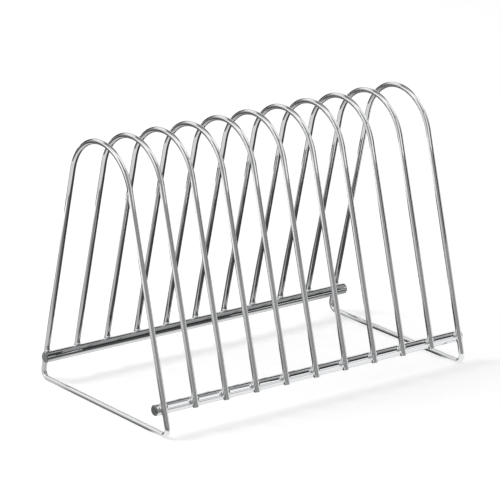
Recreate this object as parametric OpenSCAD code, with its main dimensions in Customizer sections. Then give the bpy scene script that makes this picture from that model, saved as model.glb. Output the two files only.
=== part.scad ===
// Wire storage rack for a row of upright discs.
// Bent wires stand across two round rails, with a slot for a disc between each two of them.
// Every wire is an upside-down U whose legs lean in towards a round crown. The two outermost
// wires carry on below the rails and close into feet. All of it is welded and then plated.
//
// X runs along the rails, Y from front to back, Z up. The origin is at the middle of the
// footprint, on the surface that the rack stands on. Lengths are in millimetres.

/* [Rack] */
// Number of slots between the wires
slot_count = 10; // [3:1:14]
// Distance from one wire to the next
pitch = 20; // [12:0.5:40]
// Height from the table to the top of the crowns
rack_h = 150; // [110:1:220]

/* [Wire] */
// Diameter of the wire of the hoops and end frames
wire_d = 3; // [2:0.1:5]
// Radius of the round crown, to the middle of the wire
crown_r = 28; // [18:0.5:38]
// Radius of the two bends at the foot of an end frame, to the middle of the wire
foot_bend_r = 4; // [3:0.25:8]
// How far a hoop's cut ends reach below the middle of the rails
hoop_tail = 2; // [1.5:0.1:8]
// Bevel on a hoop's cut ends
tail_bevel = 0.3; // [0.1:0.05:0.8]

/* [Rails] */
// Diameter of the two rails
rail_d = 6; // [4:0.25:10]
// Distance between the middles of the two rails
rail_spacing = 105; // [80:1:150]
// Height of the middle of the rails above the table
rail_z = 15; // [12:0.5:30]
// How far the rails run past the middle of the end frames
rail_overhang = 4; // [2.5:0.5:20]
// Bevel on the rails' ends
rail_bevel = 0.5; // [0.2:0.1:1.5]

/* [Welds] */
// How far a wire sinks into a rail where the two are welded
weld_bite = 0.3; // [0.1:0.05:0.6]
// How far the bead of a weld shows past the wire, all round
weld_spread = 0.9; // [0.5:0.1:1.5]

/* [Hidden] */
$fn = 48;
CHROME = [0.78, 0.79, 0.81];
WELD = [0.66, 0.67, 0.69];

FRONT = -1;
REAR = 1;

// Straight wire is this much thinner all round than bent wire and reaches this far into it,
// so that a run and a bend always join as one solid
run_step = 0.005;
run_reach = 0.1;
run_d = wire_d - 2 * run_step;

wire_r = wire_d / 2;
rail_r = rail_d / 2;
rail_y = rail_spacing / 2;
hoop_count = slot_count + 1;
frame_x = slot_count * pitch / 2;
rail_len = 2 * (frame_x + rail_overhang);

// The crown's centre, in the plane of a wire
crown_z = rack_h - wire_r - crown_r;

// A leg touches the crown's circle and passes the rail at weld_gap from its middle. Both
// distances are square to the leg, so the leg's lean follows from the line between the two
// centres.
weld_gap = rail_r + run_d / 2 - weld_bite;
centre_run = norm([rail_y, crown_z - rail_z]);
centre_slope = atan2(crown_z - rail_z, rail_y);
lean = acos((crown_r - weld_gap) / centre_run) - centre_slope;

// Where a leg leaves the crown, as [Y, Z] on the rear side
leg_top = [crown_r * cos(lean), crown_z + crown_r * sin(lean)];

// Lengths of a leg down to a hoop's cut end and down to an end frame's bend
hoop_leg = (leg_top[1] - (rail_z - hoop_tail)) / cos(lean);
bend_z = wire_r + foot_bend_r;
frame_leg = (leg_top[1] - (bend_z + foot_bend_r * sin(lean))) / cos(lean);
bend_y = leg_top[0] + frame_leg * sin(lean) - foot_bend_r * cos(lean);

// A weld's bead is a ball, centred in the seat, as [Y, Z] on the rear side
weld_d = wire_d + 2 * weld_spread;
weld_at = [rail_y, rail_z] + (rail_r - weld_bite / 2) * [cos(lean), sin(lean)];

function wire_x(i) = (i - 1) * pitch - frame_x;

HOOPS = [for (i = [2 : hoop_count - 1]) str("hoop_", i)];

// A round bar that stands on the XY plane, with a bevel at either end if it has one
module bar(d, length, low_bevel = 0, high_bevel = 0) {
    translate([0, 0, low_bevel]) cylinder(d = d, h = length - low_bevel - high_bevel);
    if (low_bevel > 0)
        cylinder(d1 = d - 2 * low_bevel, d2 = d, h = low_bevel);
    if (high_bevel > 0)
        translate([0, 0, length - high_bevel])
            cylinder(d1 = d, d2 = d - 2 * high_bevel, h = high_bevel);
}

// Part of a ring of wire in the XY plane, from one angle to another
module wire_arc(r, from, to) {
    rotate([0, 0, from])
        rotate_extrude(angle = to - from)
            translate([r, 0]) circle(d = wire_d);
}

// Turns the XY plane, where wires are drawn, into the YZ plane of wire i
module in_wire_plane(i) {
    translate([wire_x(i), 0, 0]) rotate([90, 0, 90]) children();
}

// What follows is drawn on the rear leg and again, mirrored, on the front one
module both_legs() {
    children();
    mirror([1, 0, 0]) children();
}

// The rear leg in the XY plane, from inside the crown down to a given distance from it
module leg(length, bevel = 0) {
    translate(leg_top) rotate([90, 0, 0]) rotate([0, lean, 0])
        translate([0, 0, -run_reach])
            bar(run_d, length + run_reach, 0, bevel);
}

module crown() {
    translate([0, crown_z]) wire_arc(crown_r, lean, 180 - lean);
}

// An upside-down U with cut ends just below the middle of the rails
module hoop(i) {
    color(CHROME) in_wire_plane(i) {
        crown();
        both_legs() leg(hoop_leg, tail_bevel);
    }
}

// A closed wire: crown, two legs, two tight bends and the bar that rests on the table
module end_frame(i) {
    color(CHROME) in_wire_plane(i) {
        crown();
        both_legs() {
            leg(frame_leg + run_reach);
            translate([bend_y, bend_z]) wire_arc(foot_bend_r, -90, lean);
        }
        translate([-bend_y - run_reach, wire_r]) rotate([0, 90, 0])
            bar(run_d, 2 * (bend_y + run_reach));
    }
}

// A wire's leg on its own, run well past the rail, for cutting its seat
module leg_cutter(i, side) {
    in_wire_plane(i) mirror([side == FRONT ? 1 : 0, 0, 0]) leg(frame_leg);
}

module plain_rail(side) {
    translate([-rail_len / 2, side * rail_y, rail_z])
        rotate([0, 90, 0]) bar(rail_d, rail_len, rail_bevel, rail_bevel);
}

// A solid round rail with a shallow seat for each wire on its outer face
module rail(side) {
    color(CHROME) difference() {
        plain_rail(side);
        for (i = [1 : hoop_count]) leg_cutter(i, side);
    }
}

// The bead that fills the narrow wedge round each crossing of wire and rail
module rail_welds(side) {
    for (i = [1 : hoop_count])
        color(WELD) difference() {
            translate([wire_x(i), side * weld_at[0], weld_at[1]]) sphere(d = weld_d);
            leg_cutter(i, side);
            plain_rail(side);
        }
}

end_frame(1);  // end_frame_left
end_frame(hoop_count);  // end_frame_right
for (i = [2 : hoop_count - 1])
    hoop(i);
rail(FRONT);  // front_rail
rail(REAR);  // rear_rail
rail_welds(FRONT);  // front_rail_welds
rail_welds(REAR);  // rear_rail_welds
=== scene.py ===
"""Looks of the record storage rack: chrome, weld fillets, floor, light and camera."""
import math

import bpy
import mathutils
import numpy as np
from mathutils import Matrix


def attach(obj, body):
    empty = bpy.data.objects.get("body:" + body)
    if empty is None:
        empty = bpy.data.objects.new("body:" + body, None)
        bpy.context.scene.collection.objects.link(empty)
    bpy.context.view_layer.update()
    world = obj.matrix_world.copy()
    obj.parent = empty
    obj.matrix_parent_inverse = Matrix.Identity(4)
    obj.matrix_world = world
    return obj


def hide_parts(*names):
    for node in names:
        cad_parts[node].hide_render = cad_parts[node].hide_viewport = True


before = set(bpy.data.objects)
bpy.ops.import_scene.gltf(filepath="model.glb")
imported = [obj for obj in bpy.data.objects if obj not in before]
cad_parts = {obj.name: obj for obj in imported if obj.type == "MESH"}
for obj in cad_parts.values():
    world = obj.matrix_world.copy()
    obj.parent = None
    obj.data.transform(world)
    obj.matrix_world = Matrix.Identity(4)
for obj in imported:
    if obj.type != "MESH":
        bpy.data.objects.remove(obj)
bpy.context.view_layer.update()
scene = bpy.context.scene
MM = 0.001

# ---------------------------------------------------------------- camera
# Fitted to the photograph: place in metres, turn to the right of +Y and tilt down
CAMERA_AT = (-1.0703, -1.4520, 0.6366)
CAMERA_TURN = 36.324
CAMERA_TILT = 17.416
CAMERA_LENS = 248.30
CAMERA_SENSOR = 36.0
CAMERA_CLIP = (0.05, 30.0)

camera_data = bpy.data.cameras.new("camera")
camera_data.lens = CAMERA_LENS
camera_data.sensor_width = CAMERA_SENSOR
camera_data.clip_start, camera_data.clip_end = CAMERA_CLIP
camera = bpy.data.objects.new("camera", camera_data)
camera.location = CAMERA_AT
camera.rotation_euler = (math.radians(90 - CAMERA_TILT), 0.0, math.radians(-CAMERA_TURN))
scene.collection.objects.link(camera)
scene.camera = camera


# ---------------------------------------------------------------- node helpers
def feed(tree, value, socket):
    """Gives a socket a fixed value, or links a node's output to it"""
    if isinstance(value, bpy.types.NodeSocket):
        tree.links.new(value, socket)
    else:
        socket.default_value = value


def calculate(tree, operation, *values):
    """The output of a Math node that works on fixed values or nodes' outputs"""
    step = tree.nodes.new("ShaderNodeMath")
    step.operation = operation
    for value, socket in zip(values, step.inputs):
        feed(tree, value, socket)
    return step.outputs["Value"]


def mixed(tree, below, above, amount, kind="FLOAT"):
    """below where amount is 0, above where it's 1"""
    mix = tree.nodes.new("ShaderNodeMix")
    mix.data_type = kind
    feed(tree, below, mix.inputs["A"])
    feed(tree, above, mix.inputs["B"])
    feed(tree, amount, mix.inputs["Factor"])
    return mix.outputs["Result"]


def ramp(tree, value, zero_at, one_at):
    """A smooth step of value, from 0 at zero_at to 1 at one_at"""
    step = tree.nodes.new("ShaderNodeMapRange")
    step.interpolation_type = "SMOOTHSTEP"
    step.inputs["From Min"].default_value = zero_at
    step.inputs["From Max"].default_value = one_at
    feed(tree, value, step.inputs["Value"])
    return step.outputs["Result"]


def noise(tree, where, scale, detail):
    texture = tree.nodes.new("ShaderNodeTexNoise")
    texture.inputs["Scale"].default_value = scale
    texture.inputs["Detail"].default_value = detail
    feed(tree, where, texture.inputs["Vector"])
    return texture.outputs["Fac"]


# ---------------------------------------------------------------- materials
# Clouds in the chrome's polish and colour, and the slight waves of drawn wire
CLOUD_SCALE = 90.0
CLOUD_DETAIL = 4.0
CLOUD_SHADE = 0.96
WAVE_SCALE = 160.0
WAVE_DETAIL = 2.0
WAVE_STRENGTH = 0.35
WAVE_DEPTH = 0.00004
# The rails' sawn ends, past this distance from the middle, are rougher and a darker grey
SAWN_BEYOND = 0.1034
SAWN_ROUGH = 0.42
SAWN_COLOUR = (0.30, 0.305, 0.31, 1.0)


def chrome(name, colour, rough_low, rough_high, sawn_ends=False):
    """Plated steel: bright, clouded and waved, and rougher and darker on a rail's sawn ends"""
    material = bpy.data.materials.new(name)
    material.use_nodes = True
    tree = material.node_tree
    shader = tree.nodes["Principled BSDF"]
    shader.inputs["Metallic"].default_value = 1.0
    where = tree.nodes.new("ShaderNodeTexCoord").outputs["Object"]
    cloud = noise(tree, where, CLOUD_SCALE, CLOUD_DETAIL)
    rough = mixed(tree, rough_low, rough_high, cloud)
    shade = (*[c * CLOUD_SHADE for c in colour], 1.0)
    tint = mixed(tree, shade, (*colour, 1.0), cloud, "RGBA")
    wave = tree.nodes.new("ShaderNodeBump")
    wave.inputs["Strength"].default_value = WAVE_STRENGTH
    wave.inputs["Distance"].default_value = WAVE_DEPTH
    feed(tree, noise(tree, where, WAVE_SCALE, WAVE_DETAIL), wave.inputs["Height"])
    if sawn_ends:
        split = tree.nodes.new("ShaderNodeSeparateXYZ")
        feed(tree, where, split.inputs["Vector"])
        off_middle = calculate(tree, "ABSOLUTE", split.outputs["X"])
        sawn = calculate(tree, "GREATER_THAN", off_middle, SAWN_BEYOND)
        rough = mixed(tree, rough, SAWN_ROUGH, sawn)
        tint = mixed(tree, tint, SAWN_COLOUR, sawn, "RGBA")
    feed(tree, wave.outputs["Normal"], shader.inputs["Normal"])
    feed(tree, rough, shader.inputs["Roughness"])
    feed(tree, tint, shader.inputs["Base Color"])
    return material


wire_chrome = chrome("wire_chrome", (0.86, 0.865, 0.875), 0.03, 0.10)
rail_chrome = chrome("rail_chrome", (0.85, 0.86, 0.875), 0.03, 0.09, sawn_ends=True)
weld_chrome = chrome("weld_chrome", (0.84, 0.845, 0.855), 0.04, 0.14)
for node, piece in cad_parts.items():
    finish = weld_chrome if "weld" in node else rail_chrome if "rail" in node else wire_chrome
    piece.data.materials.clear()
    piece.data.materials.append(finish)

# ---------------------------------------------------------------- welds
# The smooth fillets of the welds, from the same lengths as the solids, in millimetres and
# degrees. The legs are straight wire, which the solids make a trifle thinner than bent wire.
WIRE_R = 1.495
RAIL_R = 3.0
RAIL_Y = 52.5
RAIL_Z = 15.0
LEAN = math.radians(14.80)
BITE = 0.3
TAIL = 2.0
OVERHANG = 4.0
BEVEL = 0.5
PITCH = 20.0
WIRE_COUNT = 11
WIRES_X = [PITCH * (i - (WIRE_COUNT - 1) / 2) for i in range(WIRE_COUNT)]
# How far a leg passes from the rail's middle, and its seat in the rail: X from the wire, Y and
# Z from the rail's middle, on the rear side
WIRE_OFF = RAIL_R + WIRE_R - BITE
SEAT = (RAIL_R - BITE / 2) * np.array([0, math.cos(LEAN), math.sin(LEAN)])
# How far the fillet spreads, how deep its skin lies in the steel past its rim, and how far
# from the seat it's drawn
FILLET = 3.4
INSET = 0.02
REACH = 5.2
# The grid that the skin is found on, and how it then settles on the true surface
GRID = 0.32
SETTLE_ROUNDS = 3
SETTLE_MOST = 0.1
NUDGE = 0.01
LEAST_SLOPE = 0.25


def weld_distance(p, cut):
    """How far points are outside the filleted crossing of a rail and a wire. A hoop's wire is
    cut just below it, and an end frame's wire is the last one before the rail's end."""
    x, y, z = p[..., 0], p[..., 1], p[..., 2]
    along = z * math.cos(LEAN) - y * math.sin(LEAN)
    out = y * math.cos(LEAN) + z * math.sin(LEAN) - WIRE_OFF
    wire = np.hypot(x, out) - WIRE_R
    if cut:
        below = (-TAIL - WIRE_OFF * math.sin(LEAN)) / math.cos(LEAN) - along
        wire = (np.hypot(np.maximum(wire, 0), np.maximum(below, 0))
                + np.minimum(np.maximum(wire, below), 0))
    rail = np.hypot(y, z) - RAIL_R
    if not cut:
        past = x - OVERHANG
        rail = np.maximum(np.maximum(rail, past), (rail + past + BEVEL) / math.sqrt(2))
    blend = np.maximum(1 - abs(wire - rail) / FILLET, 0)
    skin = np.minimum(wire, rail) - blend ** 3 * FILLET / 6 + INSET
    return np.maximum(skin, np.linalg.norm(p - SEAT, axis=-1) - REACH)


def weld_skin(cut):
    """The surface where weld_distance is 0, as points and quads, by surface nets"""
    count = int(2 * (REACH + GRID) / GRID) + 2
    low = SEAT - GRID * (count - 1) / 2
    axis = np.arange(count) * GRID
    grid = np.stack(np.meshgrid(axis, axis, axis, indexing="ij"), axis=-1) + low
    field = weld_distance(grid, cut)
    total = np.zeros((count - 1,) * 3 + (3,))
    crossings = np.zeros((count - 1,) * 3)
    edges = []
    for d in range(3):
        ahead = [slice(None)] * 3
        here = [slice(None)] * 3
        ahead[d], here[d] = slice(1, None), slice(None, -1)
        f0, f1 = field[tuple(here)], field[tuple(ahead)]
        crossed = (f0 < 0) != (f1 < 0)
        at = grid[tuple(here)].copy()
        at[..., d] += GRID * np.where(crossed, f0 / np.where(f0 == f1, 1, f0 - f1), 0)
        e, f = [k for k in range(3) if k != d]
        for i in (0, 1):
            for j in (0, 1):
                part = [slice(None)] * 3
                part[e] = slice(i, i + count - 1)
                part[f] = slice(j, j + count - 1)
                total += np.where(crossed[tuple(part)][..., None], at[tuple(part)], 0)
                crossings += crossed[tuple(part)]
        edges.append((d, e, f, crossed, f0 < 0))
    used = crossings > 0
    number = np.cumsum(used).reshape(used.shape) - 1
    points = total[used] / crossings[used][:, None]
    for _ in range(SETTLE_ROUNDS):
        value = weld_distance(points, cut)
        slope = np.stack([weld_distance(points + NUDGE * step, cut)
                          - weld_distance(points - NUDGE * step, cut)
                          for step in np.eye(3)], axis=-1) / (2 * NUDGE)
        size = np.maximum((slope ** 2).sum(-1), LEAST_SLOPE)
        points = points - np.clip(value / size, -SETTLE_MOST, SETTLE_MOST)[:, None] * slope
    quads = []
    for d, e, f, crossed, inside in edges:
        for where in np.argwhere(crossed):
            around = []
            for i, j in ((0, 0), (1, 0), (1, 1), (0, 1)):
                cell = where.copy()
                cell[e] -= i
                cell[f] -= j
                around.append(int(number[tuple(cell)]))
            flip = inside[tuple(where)] == (d == 1)
            quads.append(tuple(around[::-1] if flip else around))
    return points, quads


weld_shapes = {cut: weld_skin(cut) for cut in (True, False)}
for node, side in (("front_rail_welds", -1), ("rear_rail_welds", 1)):
    points, quads = [], []
    for x in WIRES_X:
        at_end = x in (WIRES_X[0], WIRES_X[-1])
        shape, faces = weld_shapes[not at_end]
        outward = -1 if x == WIRES_X[0] else 1
        moved = shape * (outward, side, 1) + (x, side * RAIL_Y, RAIL_Z)
        start = len(points)
        points += (moved * MM).tolist()
        turned = side * outward < 0
        quads += [tuple(start + n for n in (q[::-1] if turned else q)) for q in faces]
    mesh = bpy.data.meshes.new(node.replace("welds", "fillets"))
    mesh.from_pydata(points, [], quads)
    mesh.polygons.foreach_set("use_smooth", [True] * len(quads))
    mesh.materials.append(weld_chrome)
    fillets = bpy.data.objects.new(mesh.name, mesh)
    scene.collection.objects.link(fillets)
    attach(fillets, "root")
    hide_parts(node)


# ---------------------------------------------------------------- studio
def seen_ray(tree):
    """1 for a ray that shows what is seen, by the camera, in a mirror or through glass"""
    ray = tree.nodes.new("ShaderNodeLightPath").outputs
    through = calculate(tree, "MAXIMUM", ray["Is Glossy Ray"], ray["Is Transmission Ray"])
    return calculate(tree, "MAXIMUM", ray["Is Camera Ray"], through)


def stage_piece(name, vertices, faces):
    """A mesh that belongs to the studio, not to the rack"""
    mesh = bpy.data.meshes.new(name)
    mesh.from_pydata(vertices, [], faces)
    piece = bpy.data.objects.new(name, mesh)
    scene.collection.objects.link(piece)
    return piece


def square(half, z):
    return [(-half, -half, z), (half, -half, z), (half, half, z), (-half, half, z)]


def only_in_mirrors(piece):
    """Hides a piece from all rays but those that chrome mirrors"""
    piece.visible_camera = False
    piece.visible_diffuse = False
    piece.visible_transmission = False
    piece.visible_volume_scatter = False
    piece.visible_shadow = False


def glow_material(name):
    """A material, its node tree and a glow shader that isn't sampled as a light"""
    material = bpy.data.materials.new(name)
    material.use_nodes = True
    material.cycles.emission_sampling = "NONE"
    tree = material.node_tree
    tree.nodes.remove(tree.nodes["Principled BSDF"])
    glow = tree.nodes.new("ShaderNodeEmission")
    return material, tree, glow


def show(tree, shader):
    """Makes a shader the surface of its material"""
    feed(tree, shader, tree.nodes["Material Output"].inputs["Surface"])


def mixed_shader(tree, below, above, amount):
    """The shader below where amount is 0, the one above where it's 1"""
    mix = tree.nodes.new("ShaderNodeMixShader")
    feed(tree, amount, mix.inputs["Fac"])
    feed(tree, below, mix.inputs[1])
    feed(tree, above, mix.inputs[2])
    return mix.outputs["Shader"]


def one_sided(name, bright):
    """A card's paint, on the side of its face normals; the other side is clear"""
    material, tree, glow = glow_material(name)
    feed(tree, bright, glow.inputs["Strength"])
    clear = tree.nodes.new("ShaderNodeBsdfTransparent").outputs["BSDF"]
    back = tree.nodes.new("ShaderNodeNewGeometry").outputs["Backfacing"]
    show(tree, mixed_shader(tree, glow.outputs["Emission"], clear, back))
    return material


# The floor: white to the camera and in the chrome, but for the rack's shadow. The lift is a
# glow that it has only where it's seen.
FLOOR_HALF = 6.0
FLOOR_COLOUR = 0.80
FLOOR_ROUGH = 0.9
FLOOR_LIFT = 0.40
floor = stage_piece("floor", square(FLOOR_HALF, 0.0), [(0, 1, 2, 3)])
paper = bpy.data.materials.new("floor_paper")
paper.use_nodes = True
tree = paper.node_tree
matt = tree.nodes["Principled BSDF"]
matt.inputs["Base Color"].default_value = (*[FLOOR_COLOUR] * 3, 1.0)
matt.inputs["Roughness"].default_value = FLOOR_ROUGH
matt.inputs["Specular IOR Level"].default_value = 0.0
matt.inputs["Emission Color"].default_value = (1.0, 1.0, 1.0, 1.0)
feed(tree, mixed(tree, 0.0, FLOOR_LIFT, seen_ray(tree)), matt.inputs["Emission Strength"])
paper.cycles.emission_sampling = "NONE"
floor.data.materials.append(paper)

# A light tent round the rack, white with grey and black flags and brighter lamps, that only
# the chrome sees. It reaches a little below the floor.
TENT_RADIUS = 5.5
TENT_REACH = 95
TENT_RINGS = 12
TENT_SPOKES = 32
# Each field: azimuth from +Y towards +X, elevation, angle from its middle to where it begins
# to fade, width of the fade, all in degrees, and brightness. A later one covers an earlier one.
TENT_FIELDS = [
    (165, 30, 90, 12, 0.3),  # the dim front half of the tent
    (-10, -5, 25, 25, 0.0),  # black low at the rear
    (-55, 45, 30, 25, 1.1),  # the largest lamp, high at the rear left
    (-10, 45, 12, 30, 0.2),  # a grey veil high at the rear
    (90, 25, 20, 10, 1.1),  # a lamp on the right
    (170, 75, 15, 12, 1.1),  # a lamp almost overhead
    (-125, 55, 8, 20, 0.05),  # a black flag high on the left
    (90, 5, 12, 5, 0.0),  # black under the lamp on the right
    (-12, 35, 12, 6, 1.1),  # a small lamp at the rear, over the veil
    (50, 45, 12, 8, 0.05),  # a black flag at the rear right
    (143, 20, 10, 5, 1.1),  # a small lamp at the front right
    (-120, 0, 10, 8, 0.3),  # a grey flag low on the left
]


def dome(radius, reach, rings, spokes):
    """Points and faces of a dome, from its top down to an angle of reach from there"""
    points = [(0, 0, radius)]
    for i in range(1, rings + 1):
        tip = math.radians(reach * i / rings)
        for k in range(spokes):
            turn = 2 * math.pi * k / spokes
            points.append((radius * math.sin(tip) * math.cos(turn),
                           radius * math.sin(tip) * math.sin(turn), radius * math.cos(tip)))
    faces = [(0, 1 + k, 1 + (k + 1) % spokes) for k in range(spokes)]
    for i in range(rings - 1):
        high, low = 1 + i * spokes, 1 + (i + 1) * spokes
        for k in range(spokes):
            after = (k + 1) % spokes
            faces.append((high + k, low + k, low + after, high + after))
    return points, faces


def towards(azimuth, elevation):
    """The direction at two angles in degrees, as a vector of length 1"""
    a, e = math.radians(azimuth), math.radians(elevation)
    return (math.sin(a) * math.cos(e), math.cos(a) * math.cos(e), math.sin(e))


tent = stage_piece("light_tent", *dome(TENT_RADIUS, TENT_REACH, TENT_RINGS, TENT_SPOKES))
only_in_mirrors(tent)
cloth, tree, glow = glow_material("tent_cloth")
where = tree.nodes.new("ShaderNodeTexCoord")
unit = tree.nodes.new("ShaderNodeVectorMath")
unit.operation = "NORMALIZE"
feed(tree, where.outputs["Object"], unit.inputs[0])
level = 1.0
for azimuth, elevation, full, fade, bright in TENT_FIELDS:
    dot = tree.nodes.new("ShaderNodeVectorMath")
    dot.operation = "DOT_PRODUCT"
    dot.inputs[1].default_value = towards(azimuth, elevation)
    feed(tree, unit.outputs["Vector"], dot.inputs[0])
    angle = calculate(tree, "ARCCOSINE", dot.outputs["Value"])
    inside = ramp(tree, angle, math.radians(full + fade), math.radians(full))
    level = mixed(tree, level, bright, inside)
feed(tree, level, glow.inputs["Strength"])
show(tree, glow.outputs["Emission"])
tent.data.materials.append(cloth)

# Grey and black cards a hair above the floor, that only the chrome sees: middle, half size
# without the fade, width of the fade, all in metres, and brightness
CARD_Z = 0.0004
CARDS_HALF = 2.0
FLOOR_CARDS_PAINTED_SHADE_AND_LIGHT = [
    (-0.04, 0.14, 0.22, 0.06, 0.055, 0.12),  # dark, behind the rack
    (-0.18, 0.0, 0.08, 0.14, 0.025, 0.6),  # grey, left of the rack
    (0.35, 0.13, 0.21, 0.06, 0.095, 0.0),  # black, to the rear right
    (-0.45, 0.62, 0.10, 0.25, 0.16, 0.0),  # black, far to the rear left
    (-0.37, -0.40, 0.26, 0.26, 0.16, 0.0),  # black, between the rack and the camera
    # painted shade: this dark card under the rack stands in for the floor's shade there, seen
    # only in the chrome
    (0.03, -0.005, 0.125, 0.032, 0.025, 0.08),  # dark, under the rack
    (-0.19, -0.03, 0.06, 0.04, 0.02, 0.2),  # dark, beside the left end's front half
    (-0.70, -0.04, 0.40, 0.06, 0.06, 0.4),  # a grey strip that runs off to the left
    (-0.05, -0.094, 0.075, 0.005, 0.01, 0.35),  # a grey strip before the front rail
    # painted light: this white strip below the front rail covers the floor's own shadow there,
    # seen only in the chrome
    (0.0, -0.058, 0.11, 0.008, 0.008, 0.95),  # a white strip below the front rail
    (-0.85, 1.45, 0.30, 0.35, 0.25, 0.0),  # black, farther still to the rear left
]
cards_painted_shade_and_light = stage_piece("floor_cards_painted_shade_and_light", square(CARDS_HALF, CARD_Z), [(0, 1, 2, 3)])
only_in_mirrors(cards_painted_shade_and_light)
felt_painted_shade_and_light, tree, glow = glow_material("card_felt_painted_shade_and_light")
where = tree.nodes.new("ShaderNodeTexCoord")
split = tree.nodes.new("ShaderNodeSeparateXYZ")
feed(tree, where.outputs["Object"], split.inputs["Vector"])
level, cover = 1.0, 0.0
for x, y, half_x, half_y, fade, bright in FLOOR_CARDS_PAINTED_SHADE_AND_LIGHT:
    sides = []
    for axis, middle, half in (("X", x, half_x), ("Y", y, half_y)):
        off = calculate(tree, "SUBTRACT", split.outputs[axis], middle)
        sides.append(ramp(tree, calculate(tree, "ABSOLUTE", off), half + fade, half))
    both = calculate(tree, "MULTIPLY", *sides)
    level = mixed(tree, level, bright, both)
    cover = mixed(tree, cover, 1.0, both)
feed(tree, level, glow.inputs["Strength"])
clear = tree.nodes.new("ShaderNodeBsdfTransparent").outputs["BSDF"]
show(tree, mixed_shader(tree, clear, glow.outputs["Emission"], cover))
cards_painted_shade_and_light.data.materials.append(felt_painted_shade_and_light)

# Cards round the rack that only the chrome sees, and from one side only. Two stand in front of
# it, three lie close to its rails and a sheet hangs behind it. Each: a corner and the two edges
# that leave it, in metres, and brightness. The painted side is the one from which the first
# edge turns anticlockwise into the second.
CARDS = [
    ("front_flag", (0.153, -0.205, 0.360), (0.200, 0.0, 0.0), (-0.065, 0.0, -0.267), 0.04),
    ("front_card", (-0.020, -0.205, 0.360), (0.170, 0.0, 0.0), (-0.051, 0.0, -0.210), 1.0),
    ("rail_flag", (-0.085, -0.047, 0.0135), (0.170, 0.0, 0.0), (0.0, 0.0, -0.0135), 0.08),
    ("rail_shelf", (-0.090, 0.0435, 0.0215), (0.0, 0.006, 0.0), (0.300, 0.0, 0.0), 0.30),
    ("rail_fence", (-0.075, 0.0400, 0.0200), (0.275, 0.0, 0.0), (0.0, 0.0, -0.0045), 0.03),
    ("rear_shelf", (-0.600, 0.060, 0.095), (0.750, 0.0, 0.0), (0.0, 0.600, 0.0), 0.10),
]
for name, corner, first, second, bright in CARDS:
    corner, first, second = (mathutils.Vector(v) for v in (corner, first, second))
    card = stage_piece(name, [corner, corner + first, corner + first + second, corner + second],
                       [(0, 1, 2, 3)])
    only_in_mirrors(card)
    card.data.materials.append(one_sided(name, bright))


def strips(name, outline, paint, bright):
    """A strip for each wire. outline: its corners, with X measured from the wire."""
    corners = [(wire * MM + x, y, z) for wire in WIRES_X for x, y, z in outline]
    faces = [tuple(range(n, n + 4)) for n in range(0, len(corners), 4)]
    piece = stage_piece(name, corners, faces)
    only_in_mirrors(piece)
    piece.data.materials.append(one_sided(paint, bright))


# Black strips, each slantwise beside and in front of a rear leg, black only on the side that
# faces that leg. A line near the leg has its ends in Y and Z, and the strip's two long edges
# are given from that line in X and Y.
SLAT_NEAR = (0.009, -0.003)
SLAT_FAR = (-0.004, -0.025)
SLAT_TOP = (0.0215, 0.121)
SLAT_FOOT = (0.0515, 0.020)
slat = [(x, y + ahead, z)
        for (x, ahead), (y, z) in ((SLAT_NEAR, SLAT_FOOT), (SLAT_FAR, SLAT_FOOT),
                                   (SLAT_FAR, SLAT_TOP), (SLAT_NEAR, SLAT_TOP))]
strips("leg_slats", slat, "slat_black", bright=0.05)

# White fins, one to the left of each crown's rear bend, white only on the side that faces it
FIN_X = -0.005
FIN_Y = (0.003, 0.037)
FIN_Z = (0.109, 0.131)
fin = [(FIN_X, FIN_Y[i], FIN_Z[j]) for i, j in ((0, 0), (1, 0), (1, 1), (0, 1))]
strips("crown_fins", fin, "fin_white", bright=0.75)

# One large soft lamp high at the rear left, in the middle of the tent's largest lamp field
LAMP_AT = (-1.05, 0.72, 1.25)
LAMP_SIZE = 0.8
LAMP_WATTS = 12.0
lamp_data = bpy.data.lights.new("softbox", "AREA")
lamp_data.shape = "DISK"
lamp_data.size = LAMP_SIZE
lamp_data.energy = LAMP_WATTS
lamp = bpy.data.objects.new("softbox", lamp_data)
lamp.location = LAMP_AT
lamp.rotation_euler = mathutils.Vector(LAMP_AT).to_track_quat("Z", "Y").to_euler()
scene.collection.objects.link(lamp)
lamp.visible_glossy = False

# The world: white where it's seen, dimmer as a light
SKY_LIGHT = 0.6
world = bpy.data.worlds.new("studio")
scene.world = world
world.use_nodes = True
tree = world.node_tree
sky = tree.nodes["Background"]
sky.inputs["Color"].default_value = (1.0, 1.0, 1.0, 1.0)
feed(tree, mixed(tree, SKY_LIGHT, 1.0, seen_ray(tree)), sky.inputs["Strength"])

scene.view_settings.view_transform = "Standard"
